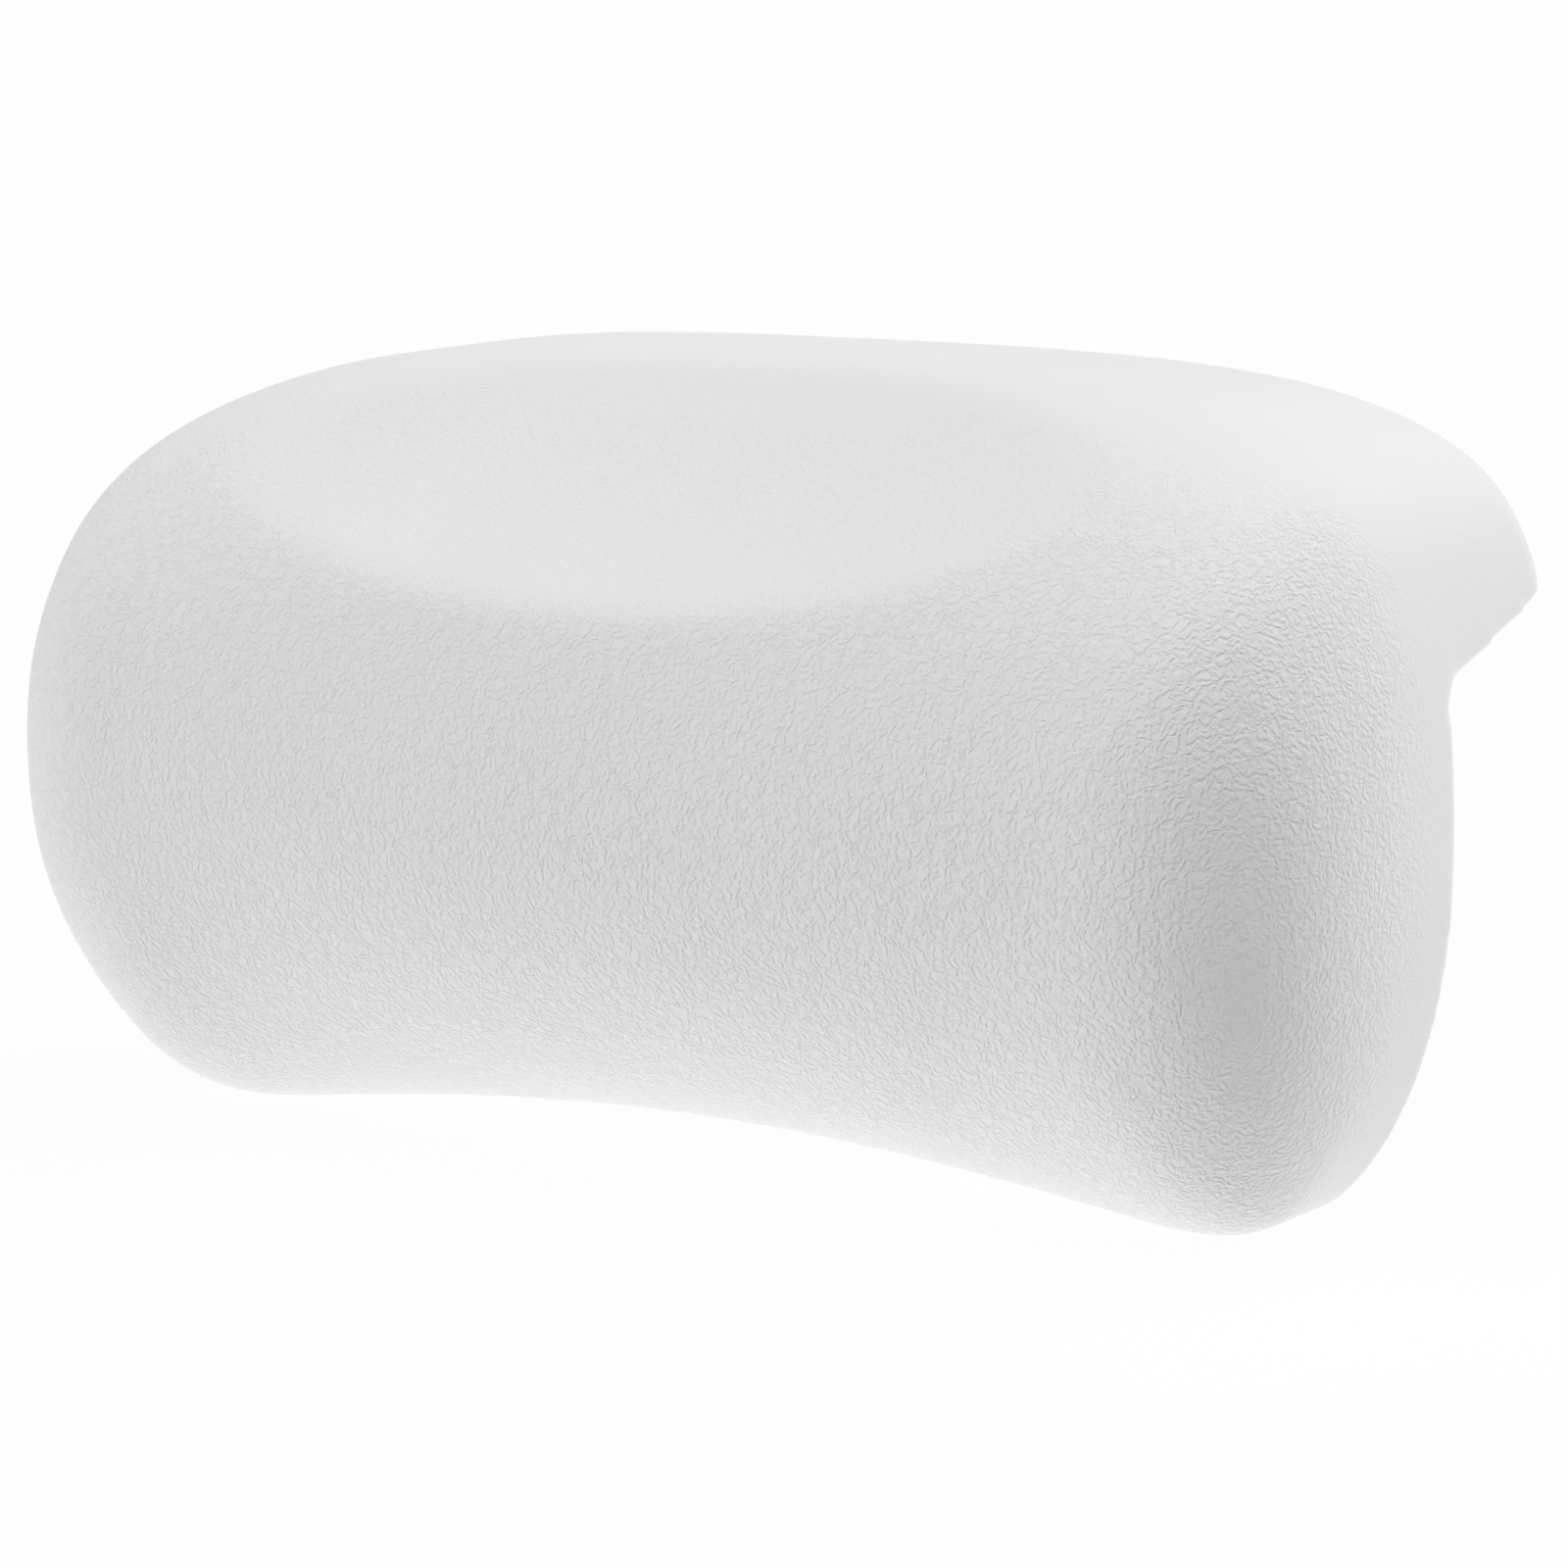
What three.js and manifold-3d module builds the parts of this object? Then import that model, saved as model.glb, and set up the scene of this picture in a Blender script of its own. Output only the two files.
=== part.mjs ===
// Bath pillow: a foam-filled, grained skin with a head hollow and a lip for the tub's rim,
// a stiff plate in the lower back, and suction cups that hang in keyhole sockets on that plate.
// Millimetres. X runs along the pillow, +Y points at the tub's wall, +Z is up.
// While it is drawn, y = 0 is the lower back face and z = 0 is the height of the two end tips.
import * as THREE from 'three';
import { mergeVertices } from 'three/addons/utils/BufferGeometryUtils.js';
import Module from 'manifold-3d';

const wasm = await Module();
wasm.setup();

// Outline of the back, seen from behind: an arched bar with elliptical ends
const PILLOW_WIDTH = 330;
const END_LENGTH = 59.25;
const END_HALF_HEIGHT = 90.25;
const END_FULLNESS = 2.21;
const CROWN_HEIGHT = 91;
const CROWN_DROP = 29.75;
const CROWN_CURVE = 2.95;
const ARCH_DEPTH = 72.75;
const ARCH_DROP = 21.5;
const OUTLINE_CORNER_BLEND = 14.5;

// Front: every outline point runs in a rounded quarter to a ridge that lies along the front
const FRONT_DEPTH = 81.5;
const FRONT_BOW = 4;
const RIDGE_HALF_LENGTH = 120;
const RIDGE_TURN = 5.1;
const RIDGE_HEIGHT = -5.5;
const RIDGE_END_RISE = 5;
const FOOT_DEPTH = 21.5;
const END_EDGE_DEPTH = 22.5;
const LOWER_FULLNESS = 1.7;
const UPPER_FULLNESS = 2.22;
const END_FACE_FULLNESS = 2.67;
const CORNER_FULLNESS = 0.22;

// Head hollow: a shallow bowl pressed into the sloping upper front
const HOLLOW_LEAN = 52;
const HOLLOW_DEPTH_LINE = 72.1;
const HOLLOW_RISE = 31;
const HOLLOW_RADIUS_ACROSS = 640;
const HOLLOW_RADIUS_ALONG = 420;
const HOLLOW_EDGE_BLEND = 3;

// Lip over the tub's rim, with the notch under it
const LIP_REACH = 49.75;
const LIP_TOP_FLAT = 36;
const LIP_EDGE_RADIUS = 5;
const LIP_NOSE_RADIUS = 6;
const NOTCH_HEIGHT = 27;
const NOTCH_SLOPE = 16.1;
const NOTCH_CORNER_RADIUS = 5;
const FOOT_FLAT_DEPTH = 0.5;

// Skin, fits and the plate well in the lower back
const SKIN_THICKNESS = 2;
const FIT_GAP = 0.3;
const WELL_DEPTH = 6;
const WELL_END_MARGIN = 18;
const WELL_SIDE_MARGIN = 12;
const WELL_CORNER_RADIUS = 16;
const PLATE_EDGE_THICKNESS = 3;
const PLATE_FLANGE_THICKNESS = 2.2;
const PLATE_FLANGE_WIDTH = 5;

// Keyhole sockets
const SOCKET_FLANGE_RADIUS = 17;
const SOCKET_FLANGE_THICKNESS = 1.5;
const SOCKET_WALL = 2.4;
const SOCKET_FLOOR = 2;
const KEYHOLE_WALL = 2.8;
const HANG_TRAVEL = 9;
const POCKET_GAP = 0.5;
const POCKET_SPARE_DEPTH = 2;

// Studs
const STUD_HEAD_RADIUS = 6.5;
const STUD_HEAD_THICKNESS = 2.9;
const STUD_HEAD_CHAMFER = 1;
const STUD_NECK_RADIUS = 3.7;
const STUD_COLLAR_RADIUS = 7;
const STUD_COLLAR_THICKNESS = 1.7;
const STUD_PLUG_RADIUS = 3;
const STUD_PLUG_LENGTH = 5.2;

// Suction cups, in one row along the plate
const CUP_RADIUS = 22;
const CUP_HEIGHT = 10.9;
const CUP_NECK_RADIUS = 7.5;
const CUP_NECK_LENGTH = 3.4;
const CUP_SHOULDER_WIDTH = 4.5;
const CUP_RIM_WIDTH = 1.4;
const CUP_RIM_THICKNESS = 0.9;
const CUP_WEB = 1.8;
const CUP_LEAST_SPACING = 16;
const CUP_ROW_END_MARGIN = 75;

// Facets
const STATIONS = 24;
const QUARTER_STEPS = 7;
const EDGE_STEPS = 2;
const CUP_CURVE_STEPS = 4;
const CORNER_SEGMENTS = 4;
const ROUND_SEGMENTS = 18;
const WELD_DISTANCE = 0.001;
const PAST = 5;

// Worked-out places
const notchAngle = THREE.MathUtils.degToRad(NOTCH_SLOPE);
const notchTilt = Math.tan(notchAngle);
const cupLeastPitch = 2 * CUP_RADIUS + CUP_LEAST_SPACING;
const cupRowLength = PILLOW_WIDTH - 2 * CUP_ROW_END_MARGIN;
const cupCount = 1 + Math.floor(cupRowLength / cupLeastPitch);
const cupPitch = cupRowLength / Math.max(cupCount - 1, 1);
const plateFaceY = -WELL_DEPTH;
const collarEndY = plateFaceY - PLATE_EDGE_THICKNESS;
const flangeFaceY = collarEndY - FIT_GAP;
const plateFrontY = flangeFaceY - PLATE_FLANGE_THICKNESS;
const socketSeatY = plateFaceY + FIT_GAP;
const socketFaceY = socketSeatY + SOCKET_FLANGE_THICKNESS;
const pocketTopY = socketFaceY - KEYHOLE_WALL;
const headTopY = pocketTopY - FIT_GAP;
const headEndY = headTopY - STUD_HEAD_THICKNESS;
const pocketEndY = headEndY - POCKET_SPARE_DEPTH;
const socketEndY = pocketEndY - SOCKET_FLOOR;
const studCollarY = socketFaceY + FIT_GAP;
const studShoulderY = studCollarY + STUD_COLLAR_THICKNESS;
const cupNeckY = studShoulderY + FIT_GAP;
const cupRimY = cupNeckY + CUP_HEIGHT;
const pocketRadius = STUD_HEAD_RADIUS + POCKET_GAP;
const slotRadius = STUD_NECK_RADIUS + FIT_GAP;
const barrelRadius = HANG_TRAVEL / 2 + pocketRadius + SOCKET_WALL;
const wellLength = cupRowLength + 2 * (SOCKET_FLANGE_RADIUS + WELL_END_MARGIN);
const wellHeight = 2 * (SOCKET_FLANGE_RADIUS + WELL_SIDE_MARGIN);
const socketZ = (NOTCH_HEIGHT - ARCH_DEPTH) / 2;

// Lower of two heights, rounded where they cross
function blendMin(a, b, width) {
  const share = THREE.MathUtils.clamp(0.5 + (0.5 * (b - a)) / width, 0, 1);
  return THREE.MathUtils.lerp(b, a, share) - width * share * (1 - share);
}

// Top and bottom edge of the back outline at one place along the pillow
function outlineEdges(x) {
  const fromMiddle = Math.abs(x) / (PILLOW_WIDTH / 2);
  const intoEnd = THREE.MathUtils.clamp((Math.abs(x) - PILLOW_WIDTH / 2) / END_LENGTH + 1, 0, 1);
  const endHalf = END_HALF_HEIGHT * (1 - intoEnd ** END_FULLNESS) ** (1 / END_FULLNESS);
  const crown = CROWN_HEIGHT - CROWN_DROP * fromMiddle ** CROWN_CURVE;
  const arch = ARCH_DEPTH + ARCH_DROP * fromMiddle ** 2;
  return [-blendMin(endHalf, arch, OUTLINE_CORNER_BLEND), blendMin(endHalf, crown, OUTLINE_CORNER_BLEND)];
}

// Front-most point that the outline point at x runs to
function ridgePoint(x) {
  const along = x / (1 + Math.abs(x / RIDGE_HALF_LENGTH) ** RIDGE_TURN) ** (1 / RIDGE_TURN);
  const share = along / RIDGE_HALF_LENGTH;
  const depth = FRONT_DEPTH - FRONT_BOW * share ** 2;
  return new THREE.Vector3(along, -depth, RIDGE_HEIGHT + RIDGE_END_RISE * share ** 2);
}

// Points from the back edge of the outline, round that edge and over the front to the ridge
function frontCurve(x, z) {
  const ridge = ridgePoint(x);
  const outward = new THREE.Vector2(x - ridge.x, z - ridge.z);
  const reach = outward.length();
  outward.normalize();
  const side = outward.x ** 2;
  const above = outward.y > 0 ? outward.y ** 2 : 0;
  const below = outward.y < 0 ? outward.y ** 2 : 0;
  const diagonal = (2 * outward.x * outward.y) ** 2;
  const faceFullness = side * END_FACE_FULLNESS + above * UPPER_FULLNESS + below * LOWER_FULLNESS;
  const fullness = faceFullness + diagonal * CORNER_FULLNESS;
  const topStart = LIP_REACH - LIP_EDGE_RADIUS - LIP_TOP_FLAT;
  const startY = above * topStart - below * FOOT_DEPTH - side * END_EDGE_DEPTH;
  const points = [];
  for (let step = 0; step <= EDGE_STEPS; step += 1) {
    const angle = (step / EDGE_STEPS) * (Math.PI / 2);
    const drawnIn = reach - LIP_EDGE_RADIUS * (1 - Math.sin(angle));
    const y = LIP_REACH - LIP_EDGE_RADIUS * (1 - Math.cos(angle));
    points.push(new THREE.Vector3(ridge.x + outward.x * drawnIn, y, ridge.z + outward.y * drawnIn));
  }
  for (let step = 0; step <= QUARTER_STEPS; step += 1) {
    const angle = (step / QUARTER_STEPS) * (Math.PI / 2);
    const outShare = step === QUARTER_STEPS ? 0 : Math.cos(angle) ** (2 / fullness);
    const frontShare = Math.sin(angle) ** (2 / fullness);
    const y = THREE.MathUtils.lerp(startY, ridge.y, frontShare);
    const across = reach * outShare;
    points.push(new THREE.Vector3(ridge.x + outward.x * across, y, ridge.z + outward.y * across));
  }
  return points;
}

// Presses the head hollow into a point of the surface
function pressHollow(point) {
  const lean = THREE.MathUtils.degToRad(HOLLOW_LEAN);
  const outward = new THREE.Vector3(0, -Math.cos(lean), Math.sin(lean));
  const upSlope = new THREE.Vector3(0, Math.sin(lean), Math.cos(lean));
  const height = point.dot(outward);
  const upward = point.dot(upSlope) - HOLLOW_RISE;
  const across = point.x ** 2 / (2 * HOLLOW_RADIUS_ACROSS);
  const bowl = HOLLOW_DEPTH_LINE + across + upward ** 2 / (2 * HOLLOW_RADIUS_ALONG);
  return point.addScaledVector(outward, blendMin(height, bowl, HOLLOW_EDGE_BLEND) - height);
}

// Joins shared corners and drops the triangles that close up there
function weld(geometry) {
  geometry.deleteAttribute('normal');
  geometry.deleteAttribute('uv');
  const merged = mergeVertices(geometry, WELD_DISTANCE);
  const kept = [];
  for (let corner = 0; corner < merged.index.count; corner += 3) {
    const [a, b, c] = [0, 1, 2].map((step) => merged.index.getX(corner + step));
    if (a !== b && b !== c && c !== a) kept.push(a, b, c);
  }
  merged.setIndex(kept);
  return merged;
}

// Whole pillow form without its notch, with its surface drawn in by an inset
function pillowForm(inset) {
  const sections = [];
  for (let station = 0; station <= STATIONS; station += 1) {
    const x = (-PILLOW_WIDTH / 2) * Math.cos((Math.PI * station) / STATIONS);
    const [bottom, top] = outlineEdges(x);
    const upper = frontCurve(x, top).reverse().slice(1);
    sections.push([...frontCurve(x, bottom), ...upper].map(pressHollow));
  }
  const size = sections[0].length;
  const index = [];
  for (let station = 0; station < STATIONS; station += 1) {
    for (let step = 0; step < size; step += 1) {
      const here = station * size + step;
      const above = station * size + ((step + 1) % size);
      index.push(here, here + size, above, above, here + size, above + size);
    }
  }
  const geometry = new THREE.BufferGeometry().setFromPoints(sections.flat());
  geometry.setIndex(index);
  const form = weld(geometry);
  form.computeVertexNormals();
  const place = form.attributes.position;
  const normal = form.attributes.normal;
  for (let vertex = 0; vertex < place.count; vertex += 1) {
    const point = new THREE.Vector3().fromBufferAttribute(place, vertex);
    point.addScaledVector(new THREE.Vector3().fromBufferAttribute(normal, vertex), -inset);
    place.setXYZ(vertex, point.x, point.y, point.z);
  }
  return form;
}

function toSolid(geometry) {
  const welded = weld(geometry);
  const vertProperties = new Float32Array(welded.attributes.position.array);
  const triVerts = new Uint32Array(welded.index.array);
  return new wasm.Manifold(new wasm.Mesh({ numProp: 3, vertProperties, triVerts }));
}

function toGeometry(solid) {
  const mesh = solid.getMesh();
  const geometry = new THREE.BufferGeometry();
  geometry.setAttribute('position', new THREE.BufferAttribute(mesh.vertProperties, 3));
  geometry.setIndex(new THREE.BufferAttribute(mesh.triVerts, 1));
  geometry.computeVertexNormals();
  return geometry;
}

// Prism along Y of a shape drawn in X and Z, from a back face to a front face
function prism(shape, backY, frontY, x, z) {
  const options = { depth: backY - frontY, bevelEnabled: false, curveSegments: CORNER_SEGMENTS };
  const geometry = new THREE.ExtrudeGeometry(shape, options);
  geometry.rotateX(Math.PI / 2);
  geometry.translate(x, backY, z);
  return toSolid(geometry);
}

// Round bar along Y
function bar(radius, backY, frontY, x, z) {
  const geometry = new THREE.CylinderGeometry(radius, radius, backY - frontY, ROUND_SEGMENTS);
  geometry.translate(x, (backY + frontY) / 2, z);
  return toSolid(geometry);
}

function roundedRectangle(length, height, radius) {
  const shape = new THREE.Shape();
  const [right, up] = [length / 2 - radius, height / 2 - radius];
  shape.absarc(right, up, radius, 0, Math.PI / 2, false);
  shape.absarc(-right, up, radius, Math.PI / 2, Math.PI, false);
  shape.absarc(-right, -up, radius, Math.PI, Math.PI * 1.5, false);
  shape.absarc(right, -up, radius, Math.PI * 1.5, Math.PI * 2, false);
  return shape;
}

// Outline of the plate well, grown by a margin
function wellPrism(margin, backY, frontY) {
  const radius = WELL_CORNER_RADIUS + margin;
  const shape = roundedRectangle(wellLength + 2 * margin, wellHeight + 2 * margin, radius);
  return prism(shape, backY, frontY, 0, socketZ);
}

// Space for the tub's wall and rim: below the lip's sloping underside and behind the lower back,
// with a rounded inner corner and a rounded nose. An inset moves it into the pillow.
function rimSpace(inset) {
  const far = PILLOW_WIDTH;
  const cornerZ = NOTCH_HEIGHT + NOTCH_CORNER_RADIUS * (notchTilt - 1 / Math.cos(notchAngle));
  const noseY = LIP_REACH - LIP_NOSE_RADIUS;
  const noseZ = NOTCH_HEIGHT + notchTilt * noseY + LIP_NOSE_RADIUS / Math.cos(notchAngle);
  const shape = new THREE.Shape();
  shape.moveTo(far, -far);
  shape.lineTo(-inset, -far);
  const cornerEnd = Math.PI / 2 + notchAngle;
  shape.absarc(NOTCH_CORNER_RADIUS, cornerZ, NOTCH_CORNER_RADIUS + inset, Math.PI, cornerEnd, true);
  shape.absarc(noseY, noseZ, LIP_NOSE_RADIUS - inset, notchAngle - Math.PI / 2, 0, false);
  shape.lineTo(far, noseZ);
  const options = { depth: 2 * far, bevelEnabled: false, curveSegments: CORNER_SEGMENTS };
  const geometry = new THREE.ExtrudeGeometry(shape, options);
  const [toX, toY, toZ] = [[1, 0, 0], [0, 1, 0], [0, 0, 1]].map((axis) => new THREE.Vector3(...axis));
  geometry.applyMatrix4(new THREE.Matrix4().makeBasis(toY, toZ, toX));
  geometry.translate(-far, 0, 0);
  return toSolid(geometry);
}

function pillowBody(inset) {
  return toSolid(pillowForm(inset)).subtract(rimSpace(inset));
}

// Grained skin, open at the plate well, with a collar that lines the well
function makeSkin() {
  const outer = pillowBody(0);
  const lowest = outer.boundingBox().min[2];
  const ground = new THREE.BoxGeometry(PILLOW_WIDTH, PILLOW_WIDTH, PILLOW_WIDTH);
  ground.translate(0, 0, lowest + FOOT_FLAT_DEPTH - PILLOW_WIDTH / 2);
  const shell = outer.subtract(toSolid(ground)).subtract(pillowBody(SKIN_THICKNESS));
  const collar = wellPrism(SKIN_THICKNESS, -SKIN_THICKNESS / 2, collarEndY);
  return shell.add(collar).subtract(wellPrism(0, PAST, collarEndY - PAST));
}

// Foam that fills the skin, with room for the plate and the sockets
function makeFoam() {
  let foam = pillowBody(SKIN_THICKNESS + FIT_GAP);
  foam = foam.subtract(wellPrism(SKIN_THICKNESS + FIT_GAP, PAST, plateFrontY));
  foam = foam.subtract(wellPrism(PLATE_FLANGE_WIDTH + FIT_GAP, collarEndY, plateFrontY - FIT_GAP));
  for (const x of cupPlaces) {
    foam = foam.subtract(bar(barrelRadius + FIT_GAP, PAST, socketEndY - FIT_GAP, x, socketZ));
  }
  return foam;
}

// Stiff plate: its face fills the well and its flange lies behind the skin's collar
function makePlate() {
  const face = wellPrism(-FIT_GAP, plateFaceY, plateFrontY);
  let plate = face.add(wellPrism(PLATE_FLANGE_WIDTH, flangeFaceY, plateFrontY));
  for (const x of cupPlaces) {
    plate = plate.subtract(bar(barrelRadius + FIT_GAP, PAST, plateFrontY - PAST, x, socketZ));
  }
  return plate;
}

// Slot with round ends that runs down from the cup's place by the hanging travel
function slotShape(radius) {
  const shape = new THREE.Shape();
  shape.absarc(0, HANG_TRAVEL / 2, radius, 0, Math.PI, false);
  shape.absarc(0, -HANG_TRAVEL / 2, radius, Math.PI, Math.PI * 2, false);
  return shape;
}

// Keyhole socket, drawn about its own middle
function makeSocket() {
  const flange = bar(SOCKET_FLANGE_RADIUS, socketFaceY, socketSeatY, 0, 0);
  const barrel = bar(barrelRadius, socketFaceY, socketEndY, 0, 0);
  const pocket = prism(slotShape(pocketRadius), pocketTopY, pocketEndY, 0, 0);
  const slot = prism(slotShape(slotRadius), PAST, pocketTopY - FIT_GAP, 0, 0);
  const entry = bar(pocketRadius, PAST, pocketTopY - FIT_GAP, 0, -HANG_TRAVEL / 2);
  return flange.add(barrel).subtract(pocket).subtract(slot).subtract(entry);
}

function turned(profile) {
  const points = profile.map(([radius, y]) => new THREE.Vector2(radius, y));
  return toSolid(new THREE.LatheGeometry(points, ROUND_SEGMENTS));
}

// Points of a profile's bend from a start to an end
function bend(start, pull, end) {
  const [from, through, to] = [start, pull, end].map((place) => new THREE.Vector2(...place));
  const curve = new THREE.QuadraticBezierCurve(from, through, to);
  return curve.getPoints(CUP_CURVE_STEPS).map((point) => point.toArray());
}

// Mushroom stud: head in the socket, collar on the socket's face, plug in the cup
function makeStud() {
  return turned([
    [0, headEndY],
    [STUD_HEAD_RADIUS - STUD_HEAD_CHAMFER, headEndY],
    [STUD_HEAD_RADIUS, headEndY + STUD_HEAD_CHAMFER],
    [STUD_HEAD_RADIUS, headTopY],
    [STUD_NECK_RADIUS, headTopY],
    [STUD_NECK_RADIUS, studCollarY],
    [STUD_COLLAR_RADIUS, studCollarY],
    [STUD_COLLAR_RADIUS, studShoulderY],
    [STUD_PLUG_RADIUS, studShoulderY],
    [STUD_PLUG_RADIUS, studShoulderY + STUD_PLUG_LENGTH],
    [0, studShoulderY + STUD_PLUG_LENGTH],
  ]);
}

// Suction cup: neck with a blind hole for the stud's plug, thin flaring bell, flat rim
function makeCup() {
  const holeRadius = STUD_PLUG_RADIUS + FIT_GAP;
  const holeEndY = studShoulderY + STUD_PLUG_LENGTH + FIT_GAP;
  const neckEndY = cupNeckY + CUP_NECK_LENGTH;
  const innerY = holeEndY + CUP_WEB;
  const innerRim = CUP_RADIUS - CUP_RIM_WIDTH;
  const bellEndY = cupRimY - CUP_RIM_THICKNESS;
  const shoulder = CUP_NECK_RADIUS + CUP_SHOULDER_WIDTH;
  const bell = bend([CUP_NECK_RADIUS, neckEndY], [shoulder, neckEndY], [CUP_RADIUS, bellEndY]);
  const hollow = bend([innerRim, cupRimY], [innerRim / 2, innerY], [0, innerY]);
  return turned([
    [0, holeEndY],
    [holeRadius, holeEndY],
    [holeRadius, cupNeckY],
    [CUP_NECK_RADIUS, cupNeckY],
    ...bell,
    [CUP_RADIUS, cupRimY],
    ...hollow,
  ]);
}

const cupPlaces = [];
for (let cup = 0; cup < cupCount; cup += 1) {
  cupPlaces.push((cup - (cupCount - 1) / 2) * cupPitch);
}

const finishes = {
  skin: { color: 0xf3f3f2, roughness: 0.62, metalness: 0 },
  foam: { color: 0xf1e6c9, roughness: 0.95, metalness: 0 },
  plate: { color: 0xd9dadb, roughness: 0.5, metalness: 0 },
  socket: { color: 0xc7c9cb, roughness: 0.45, metalness: 0 },
  stud: { color: 0xeceded, roughness: 0.4, metalness: 0 },
  cup: { color: 0xe3ebee, roughness: 0.15, metalness: 0, transparent: true, opacity: 0.6 },
};

function addPiece(group, name, solid, finish) {
  const mesh = new THREE.Mesh(toGeometry(solid), new THREE.MeshStandardMaterial(finishes[finish]));
  mesh.name = name;
  group.add(mesh);
}

const pillow = new THREE.Group();
addPiece(pillow, 'grained_skin', makeSkin(), 'skin');
addPiece(pillow, 'foam_core', makeFoam(), 'foam');
addPiece(pillow, 'back_plate', makePlate(), 'plate');
cupPlaces.forEach((x, place) => {
  const holder = new THREE.Group();
  holder.position.set(x, 0, socketZ);
  addPiece(holder, `keyhole_socket_${place + 1}`, makeSocket(), 'socket');
  const hanging = new THREE.Group();
  hanging.position.set(0, 0, HANG_TRAVEL / 2);
  addPiece(hanging, `cup_stud_${place + 1}`, makeStud(), 'stud');
  addPiece(hanging, `suction_cup_${place + 1}`, makeCup(), 'cup');
  holder.add(hanging);
  pillow.add(holder);
});

// The origin is the middle of the bounding box's bottom face
const box = new THREE.Box3().setFromObject(pillow, true);
const middle = box.getCenter(new THREE.Vector3());
pillow.position.set(-middle.x, -middle.y, -box.min.z);
const bathPillow = new THREE.Group();
bathPillow.add(pillow);

export default bathPillow;
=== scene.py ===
import math

import bmesh
import bpy
import numpy as np
from mathutils import Matrix, Vector


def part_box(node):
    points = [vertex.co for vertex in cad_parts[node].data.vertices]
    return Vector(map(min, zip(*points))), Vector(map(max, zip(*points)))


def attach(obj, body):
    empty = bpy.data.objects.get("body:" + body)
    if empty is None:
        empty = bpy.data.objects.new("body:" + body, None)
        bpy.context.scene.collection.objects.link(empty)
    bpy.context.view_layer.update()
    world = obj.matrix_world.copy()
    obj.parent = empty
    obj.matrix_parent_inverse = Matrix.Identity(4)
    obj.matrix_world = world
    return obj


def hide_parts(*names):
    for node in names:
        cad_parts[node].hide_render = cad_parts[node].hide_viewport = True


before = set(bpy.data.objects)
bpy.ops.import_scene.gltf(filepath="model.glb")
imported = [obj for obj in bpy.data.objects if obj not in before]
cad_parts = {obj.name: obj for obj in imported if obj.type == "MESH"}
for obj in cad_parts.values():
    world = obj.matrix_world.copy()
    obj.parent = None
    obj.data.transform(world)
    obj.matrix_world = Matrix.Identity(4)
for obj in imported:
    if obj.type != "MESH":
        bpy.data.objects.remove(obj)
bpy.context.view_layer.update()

# Drawing sizes are millimetres and angles are degrees; the frame is in metres.
# While a piece is drawn, y = 0 is the lower back face and z = 0 is the height of the end tips.
MM = 0.001

# Outline of the back, seen from behind
END_LENGTH = 59.25
END_HALF_HEIGHT = 90.25
END_FULLNESS = 2.21
CROWN_HEIGHT = 91.0
CROWN_DROP = 29.75
CROWN_CURVE = 2.95
ARCH_DEPTH = 72.75
ARCH_DROP = 21.5
OUTLINE_CORNER_BLEND = 14.5

# Front, which runs in rounded quarters from the outline to a ridge
FRONT_DEPTH = 81.5
FRONT_BOW = 4.0
RIDGE_HALF_LENGTH = 120.0
RIDGE_TURN = 5.1
RIDGE_HEIGHT = -5.5
RIDGE_END_RISE = 5.0
FOOT_DEPTH = 21.5
END_EDGE_DEPTH = 22.5
LOWER_FULLNESS = 1.7
UPPER_FULLNESS = 2.22
END_FACE_FULLNESS = 2.67
CORNER_FULLNESS = 0.22

# Head hollow
HOLLOW_LEAN = 52.0
HOLLOW_DEPTH_LINE = 72.1
HOLLOW_RISE = 31.0
HOLLOW_RADIUS_ACROSS = 640.0
HOLLOW_RADIUS_ALONG = 420.0
HOLLOW_EDGE_BLEND = 3.0

# Lip and notch
LIP_REACH = 49.75
LIP_TOP_FLAT = 36.0
LIP_EDGE_RADIUS = 5.0
LIP_NOSE_RADIUS = 6.0
NOTCH_HEIGHT = 27.0
NOTCH_SLOPE = 16.1
NOTCH_CORNER_RADIUS = 5.0

# Skin and the plate well
SKIN_THICKNESS = 2.0
FIT_GAP = 0.3
WELL_DEPTH = 6.0
WELL_END_MARGIN = 18.0
WELL_SIDE_MARGIN = 12.0
WELL_CORNER_RADIUS = 16.0
PLATE_EDGE_THICKNESS = 3.0
PLATE_FLANGE_THICKNESS = 2.2
PLATE_FLANGE_WIDTH = 5.0

# Keyhole sockets
SOCKET_FLANGE_RADIUS = 17.0
SOCKET_FLANGE_THICKNESS = 1.5
SOCKET_FACE_EDGE = 2.0
SOCKET_WALL = 2.4
SOCKET_FLOOR = 2.0
KEYHOLE_WALL = 2.8
HANG_TRAVEL = 9.0
POCKET_GAP = 0.5
POCKET_SPARE_DEPTH = 2.0

# Studs
STUD_HEAD_RADIUS = 6.5
STUD_HEAD_THICKNESS = 2.9
STUD_NECK_RADIUS = 3.7
STUD_COLLAR_RADIUS = 7.0
STUD_COLLAR_THICKNESS = 1.7
STUD_PLUG_RADIUS = 3.0
STUD_PLUG_LENGTH = 5.2

# Suction cups
CUP_RADIUS = 22.0
CUP_HEIGHT = 10.9
CUP_NECK_RADIUS = 7.5
CUP_NECK_LENGTH = 3.4
CUP_SHOULDER_WIDTH = 4.5
CUP_RIM_WIDTH = 1.4
CUP_RIM_THICKNESS = 0.9
CUP_WEB = 1.8

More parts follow.
